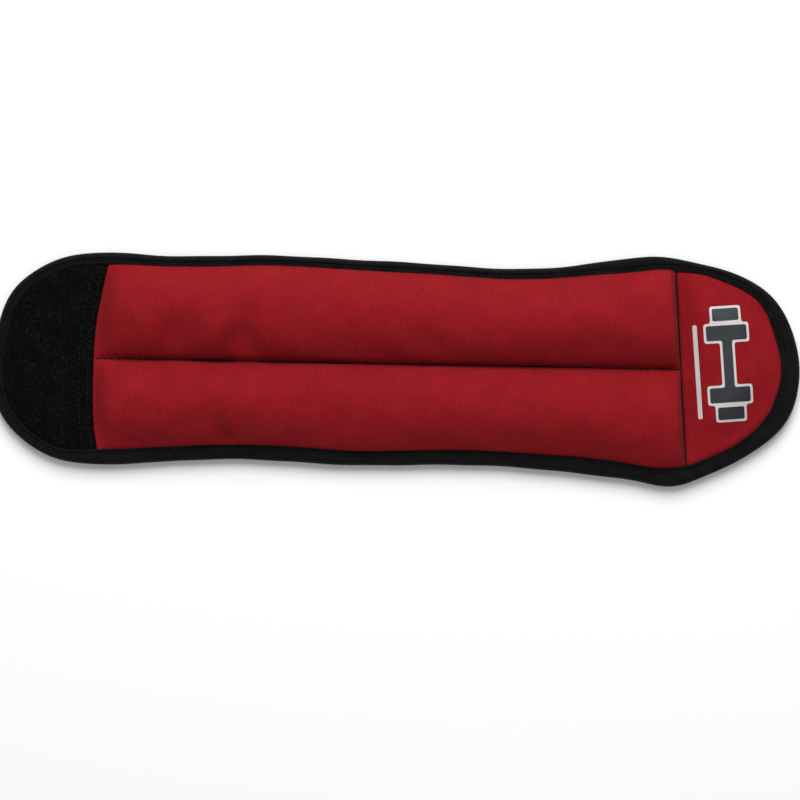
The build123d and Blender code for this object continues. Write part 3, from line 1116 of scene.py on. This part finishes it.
def make_hook_tape():
    """The hook tape on the back of the hook end: a woven ground, hooks and their stitches."""
    flat = end_sheet(straight(TAPE_START), TAPE_INSET, rows=46, columns=90)
    front_y, rear_y = flat[0, 0, 1], flat[0, -1, 1]
    weave = 0.03 * MM * waves(flat[..., 0], flat[..., 1], 5 * MM, seed=51)
    low = TAPE_TOP - TAPE_GROUND + weave
    sewn_side = raised(flat, np.full(low.shape, TAPE_TOP + 0.1 * MM))
    ground = slab("hook_tape_ground", sewn_side, raised(flat, low), flat)
    fasten(ground, HOOKS, ["hook_tape"])
    hooks = []
    xs = np.arange(TAPE_START + TAPE_MARGIN, OUTLINE[:, 0].max(), HOOK_PITCH * 0.9)
    for row, x in enumerate(xs):
        for y in np.arange(front_y, rear_y, HOOK_PITCH) + (row % 2) * HOOK_PITCH / 2:
            hooks.append((x, y))
    inset, _ = from_edge(np.array(hooks))
    kept = [place for place, depth in zip(hooks, inset) if depth > TAPE_INSET + TAPE_MARGIN]
    shapes = [hook_shape(x, y, 1 if n % 2 else -1) for n, (x, y) in enumerate(kept)]
    field = tubes("hook_tape_hooks", shapes)
    fasten(field, HOOKS, ["hook_tape"])
    inner = straight(TAPE_START + (TAPE_STITCH_INSET - TAPE_INSET))
    (first, front_y), (last, rear_y) = (
        meets(inner, front, TAPE_STITCH_INSET) for front in (True, False)
    )
    rim = inset_point(np.linspace(first, last, 160), TAPE_STITCH_INSET)
    side = line_across(inner, rear_y, front_y, 80)
    path = level(np.concatenate([rim, side[1:]]), TAPE_TOP - TAPE_GROUND - 0.02 * MM)
    thread = stitches(path, pitch=2.8 * MM, radius=0.26 * MM, up=-1)
    sew("hook_tape_stitches", ["hook_tape_thread"], thread)


# ---- the print

# Each part of the pictogram: where it starts and ends along its length, and its half width, in mm.
DUMBBELL_INNER = [[(-18, -11, 9.5), (-11, 11, 2.3), (11, 18, 9.5)], [(-26, -20.2, 6.2)],
                  [(20.2, 26, 6.2)]]
DUMBBELL_OUTER = [(-27.1, -19.1, 7.3), (-19.1, -9.9, 10.6), (-9.9, 9.9, 3.4), (9.9, 19.1, 10.6),
                  (19.1, 27.1, 7.3)]
BAR = [(-25, 19, 1.0)]
BAR_OFFSET = -14.5
PRINT_TURN = math.radians(4.9)
PRINT_SHIFT = Vector((0.3, 3.0))
INK_FILM = 0.13 * MM
INK_CELL = 1.6 * MM
INK_DEPTH = 0.3 * MM
INK_WELD = 0.0001 * MM
INK_SPANS = ((-20, 16), (-28, 34))  # how far the print reaches along and across, in mm


def stepped_outline(steps, offset):
    """The corners of a shape that is symmetric across its length and steps in width, in mm."""
    side = []
    for start, end, half in steps:
        side += [(half, start), (half, end)]
    return [(offset + w, a) for w, a in side] + [(offset - w, a) for w, a in reversed(side)]


def rounded(corners, radius):
    """A polygon with its corners rounded off."""
    corners = [Vector(corner) for corner in corners]
    points = []
    for n, corner in enumerate(corners):
        back, ahead = corners[n - 1] - corner, corners[(n + 1) % len(corners)] - corner
        reach = min(radius, back.length * 0.45, ahead.length * 0.45)
        start, end = corner + back.normalized() * reach, corner + ahead.normalized() * reach
        for t in np.linspace(0, 1, 6):
            points.append(start * (1 - t) ** 2 + corner * 2 * t * (1 - t) + end * t**2)
    return points


def ink(name, shapes, film, material, node):
    """A film of ink that lies on the hook end's face, cut fine enough to follow it."""
    low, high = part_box("print_dark")
    centre = (low + high) / 2
    turn = Matrix.Rotation(PRINT_TURN, 2)
    mesh = bmesh.new()
    for corners in shapes:
        places = [turn @ p + PRINT_SHIFT for p in corners]
        loop = [mesh.verts.new((centre.x + p.x * MM, centre.y + p.y * MM, 0)) for p in places]
        mesh.faces.new(loop)
    for (start, end), normal in zip(INK_SPANS, (Vector((1, 0, 0)), Vector((0, 1, 0)))):
        for offset in np.arange(start * MM, end * MM, INK_CELL):
            place = Vector((centre.x, centre.y, 0)) + normal * offset
            everything = mesh.verts[:] + mesh.edges[:] + mesh.faces[:]
            bmesh.ops.bisect_plane(mesh, geom=everything, dist=INK_WELD, plane_co=place,
                                   plane_no=normal)
    bmesh.ops.recalc_face_normals(mesh, faces=mesh.faces)
    if sum(face.normal.z for face in mesh.faces) < 0:
        bmesh.ops.reverse_faces(mesh, faces=mesh.faces)
    lower = bmesh.ops.duplicate(mesh, geom=mesh.verts[:] + mesh.edges[:] + mesh.faces[:])
    bottom_faces = [g for g in lower["geom"] if isinstance(g, bmesh.types.BMFace)]
    bottom_verts = {g for g in lower["geom"] if isinstance(g, bmesh.types.BMVert)}
    rim = [edge for edge in mesh.edges
           if edge in lower["edge_map"] and edge.is_boundary and edge.verts[0] not in bottom_verts]
    for edge in rim:
        a, b = edge.verts
        mesh.faces.new((a, b, lower["vert_map"][b], lower["vert_map"][a]))
    bmesh.ops.reverse_faces(mesh, faces=bottom_faces)
    plan = np.array([(v.co.x, v.co.y) for v in mesh.verts])
    inset, width = from_edge(plan)
    heights = cap_height(plan[:, 0], plan[:, 1], inset, width)
    for vertex, height in zip(mesh.verts, heights):
        vertex.co.z = height + (film if vertex not in bottom_verts else -INK_DEPTH)
    bmesh.ops.recalc_face_normals(mesh, faces=mesh.faces)
    mesh.verts.index_update()
    points = [vertex.co[:] for vertex in mesh.verts]
    faces = [[vertex.index for vertex in face.verts] for face in mesh.faces]
    mesh.free()
    piece = mesh_object(name, points, faces, plan)
    fasten(piece, material, [node])


def make_print():
    """A plain dumbbell pictogram with a bar beside it: dark ink over white."""
    white = [rounded(stepped_outline(DUMBBELL_OUTER, 0), 1.4),
             rounded(stepped_outline(BAR, BAR_OFFSET), 1)]
    dark = [rounded(stepped_outline(steps, 0), 1) for steps in DUMBBELL_INNER]
    ink("print_white_ink", white, INK_FILM, WHITE_INK, "print_white")
    ink("print_dark_ink", dark, 2 * INK_FILM, DARK_INK, "print_dark")


# ---- the weights inside

POUCH_FLOOR = 4.6 * MM
POUCH_TUCK = 1.2 * MM
POUCH_GAP = 0.5 * MM
POUCH_SKIN = 0.7 * MM


def room_under(cover, x, y):
    """Height of the cover's underside over places in the strap."""
    middle = cover[:, ACROSS * FINE, 0]
    rows = np.rint(np.interp(x, middle, np.arange(len(middle)))).astype(int)
    heights = [np.interp(v, *cover[n, :, 1:].T) for n, v in zip(rows.ravel(), y.ravel())]
    return np.reshape(heights, x.shape)


def pillow(low, high, cover, shrink, rough, seed):
    """A stuffed bag between two corners and under the cover, with pinched ends."""
    stations = np.linspace(-1, 1, 44)
    turn = np.linspace(0, 2 * math.pi, 48, endpoint=False)
    half = (high - low) / 2 - shrink
    middle = (high + low) / 2
    full = np.sqrt(np.maximum(0.004, 1 - np.abs(stations) ** 5))[:, None]
    cos, sin = np.cos(turn), np.sin(turn)
    across = np.sign(cos) * np.abs(cos) ** 0.75
    up = np.sign(sin) * np.abs(sin) ** 0.9
    x = middle[0] + half[0] * stations[:, None] + 0 * turn
    y = middle[1] + half[1] * across * lerp(0.86, 1.0, full)
    z = middle[2] + half[2] * up * full * (1 - 0.45 * np.maximum(0, up) * np.abs(across) ** 2.5)
    lumps = rough * waves(x * 1.3 + z, y - z, 3.2 * MM, seed=seed) * full
    y, z = y + lumps * across, z + lumps * up
    z = np.minimum(z, room_under(cover, x, y) - POUCH_GAP - shrink)
    return np.stack([x, y, np.maximum(z, low[2] + shrink)], axis=2)


def stow(piece, body, material, node):
    """Puts a piece on a rigid length and hides the CAD node it stands for."""
    piece.data.materials.append(material)
    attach(piece, body)
    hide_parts(node)


def make_weights(cover):
    """A pouch of iron shot in each channel of each padded length."""
    for number in range(1, SEGMENTS + 1):
        body = f"segment_{number}"
        grains = []
        for side in ("rear", "front"):
            node = f"pouch_{number}_{side}"
            low, high = (np.array(corner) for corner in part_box(node))
            low, high = low + POUCH_TUCK, high - POUCH_TUCK
            low[2] = POUCH_FLOOR
            bag = pillow(low, high, cover, shrink=0, rough=0.12 * MM, seed=number)
            pouch = tubes(f"weight_pouch_{number}_{side}", [bag])
            stow(pouch, body, POUCH, node)
            filling = pillow(low, high, cover, POUCH_SKIN, rough=0.22 * MM, seed=60 + number)
            grains.append(filling)
        shot = tubes(f"iron_shot_{number}", grains)
        stow(shot, body, SHOT, f"shot_{number}")


# ---- floor, light and camera

VIEW_WIDTH = 374.9 * MM
VIEW_CENTRE = (2.45 * MM, -15.65 * MM)
VIEW_TURN = math.radians(1.1)
LENS = 190.0
SENSOR = 36.0
CAMERA_HEIGHT = LENS / SENSOR * VIEW_WIDTH + LINING_TOP
KEY_PLACE = (0.03, 1.10, 1.30)
FILL_PLACE = (0.3, -0.9, 1.6)
SKY_STRENGTH = 0.38
FLOOR_DROP = 0.2 * MM
FLOOR_SIZE = 8
FLOOR_GREY = 0.97


def make_floor():
    """A plain pale floor."""
    bpy.ops.mesh.primitive_plane_add(size=FLOOR_SIZE, location=(0, 0, -FLOOR_DROP))
    floor = bpy.context.object
    floor.name = "floor"
    material = bpy.data.materials.new("floor")
    material.use_nodes = True
    shader = material.node_tree.nodes["Principled BSDF"]
    shader.inputs["Base Color"].default_value = (FLOOR_GREY, FLOOR_GREY, FLOOR_GREY, 1)
    shader.inputs["Roughness"].default_value = 0.9
    shader.inputs["Specular IOR Level"].default_value = 0.1
    floor.data.materials.append(material)


def add_light(name, place, size, power):
    """A square soft box that faces the strap's middle."""
    data = bpy.data.lights.new(name, "AREA")
    data.shape = "SQUARE"
    data.size = size
    data.energy = power
    light = bpy.data.objects.new(name, data)
    light.location = place
    light.rotation_euler = (-Vector(place)).to_track_quat("-Z", "Y").to_euler()
    bpy.context.scene.collection.objects.link(light)


def make_stage():
    """The floor, two soft boxes, an even sky and the camera, which looks straight down."""
    make_floor()
    add_light("key", KEY_PLACE, size=1.2, power=30)
    add_light("fill", FILL_PLACE, size=1.4, power=2)
    scene = bpy.context.scene
    world = bpy.data.worlds.new("studio")
    world.use_nodes = True
    background = world.node_tree.nodes["Background"]
    background.inputs["Color"].default_value = (1, 1, 1, 1)
    background.inputs["Strength"].default_value = SKY_STRENGTH
    scene.world = world
    scene.view_settings.view_transform = "Standard"
    camera_data = bpy.data.cameras.new("camera")
    camera_data.lens = LENS
    camera_data.sensor_width = SENSOR
    camera_data.clip_end = 20
    camera = bpy.data.objects.new("camera", camera_data)
    camera.location = (*VIEW_CENTRE, CAMERA_HEIGHT)
    camera.rotation_euler = (0, 0, VIEW_TURN)
    scene.collection.objects.link(camera)
    scene.camera = camera


make_stage()
face_top, face_underside, face_starts = make_face()
make_centre_stitches(face_top, face_starts)
make_binding()
make_loop_panel()
make_foam()
make_cap()
make_cross_stitches()
make_print()
make_lining()
make_hook_tape()
make_weights(face_underside)
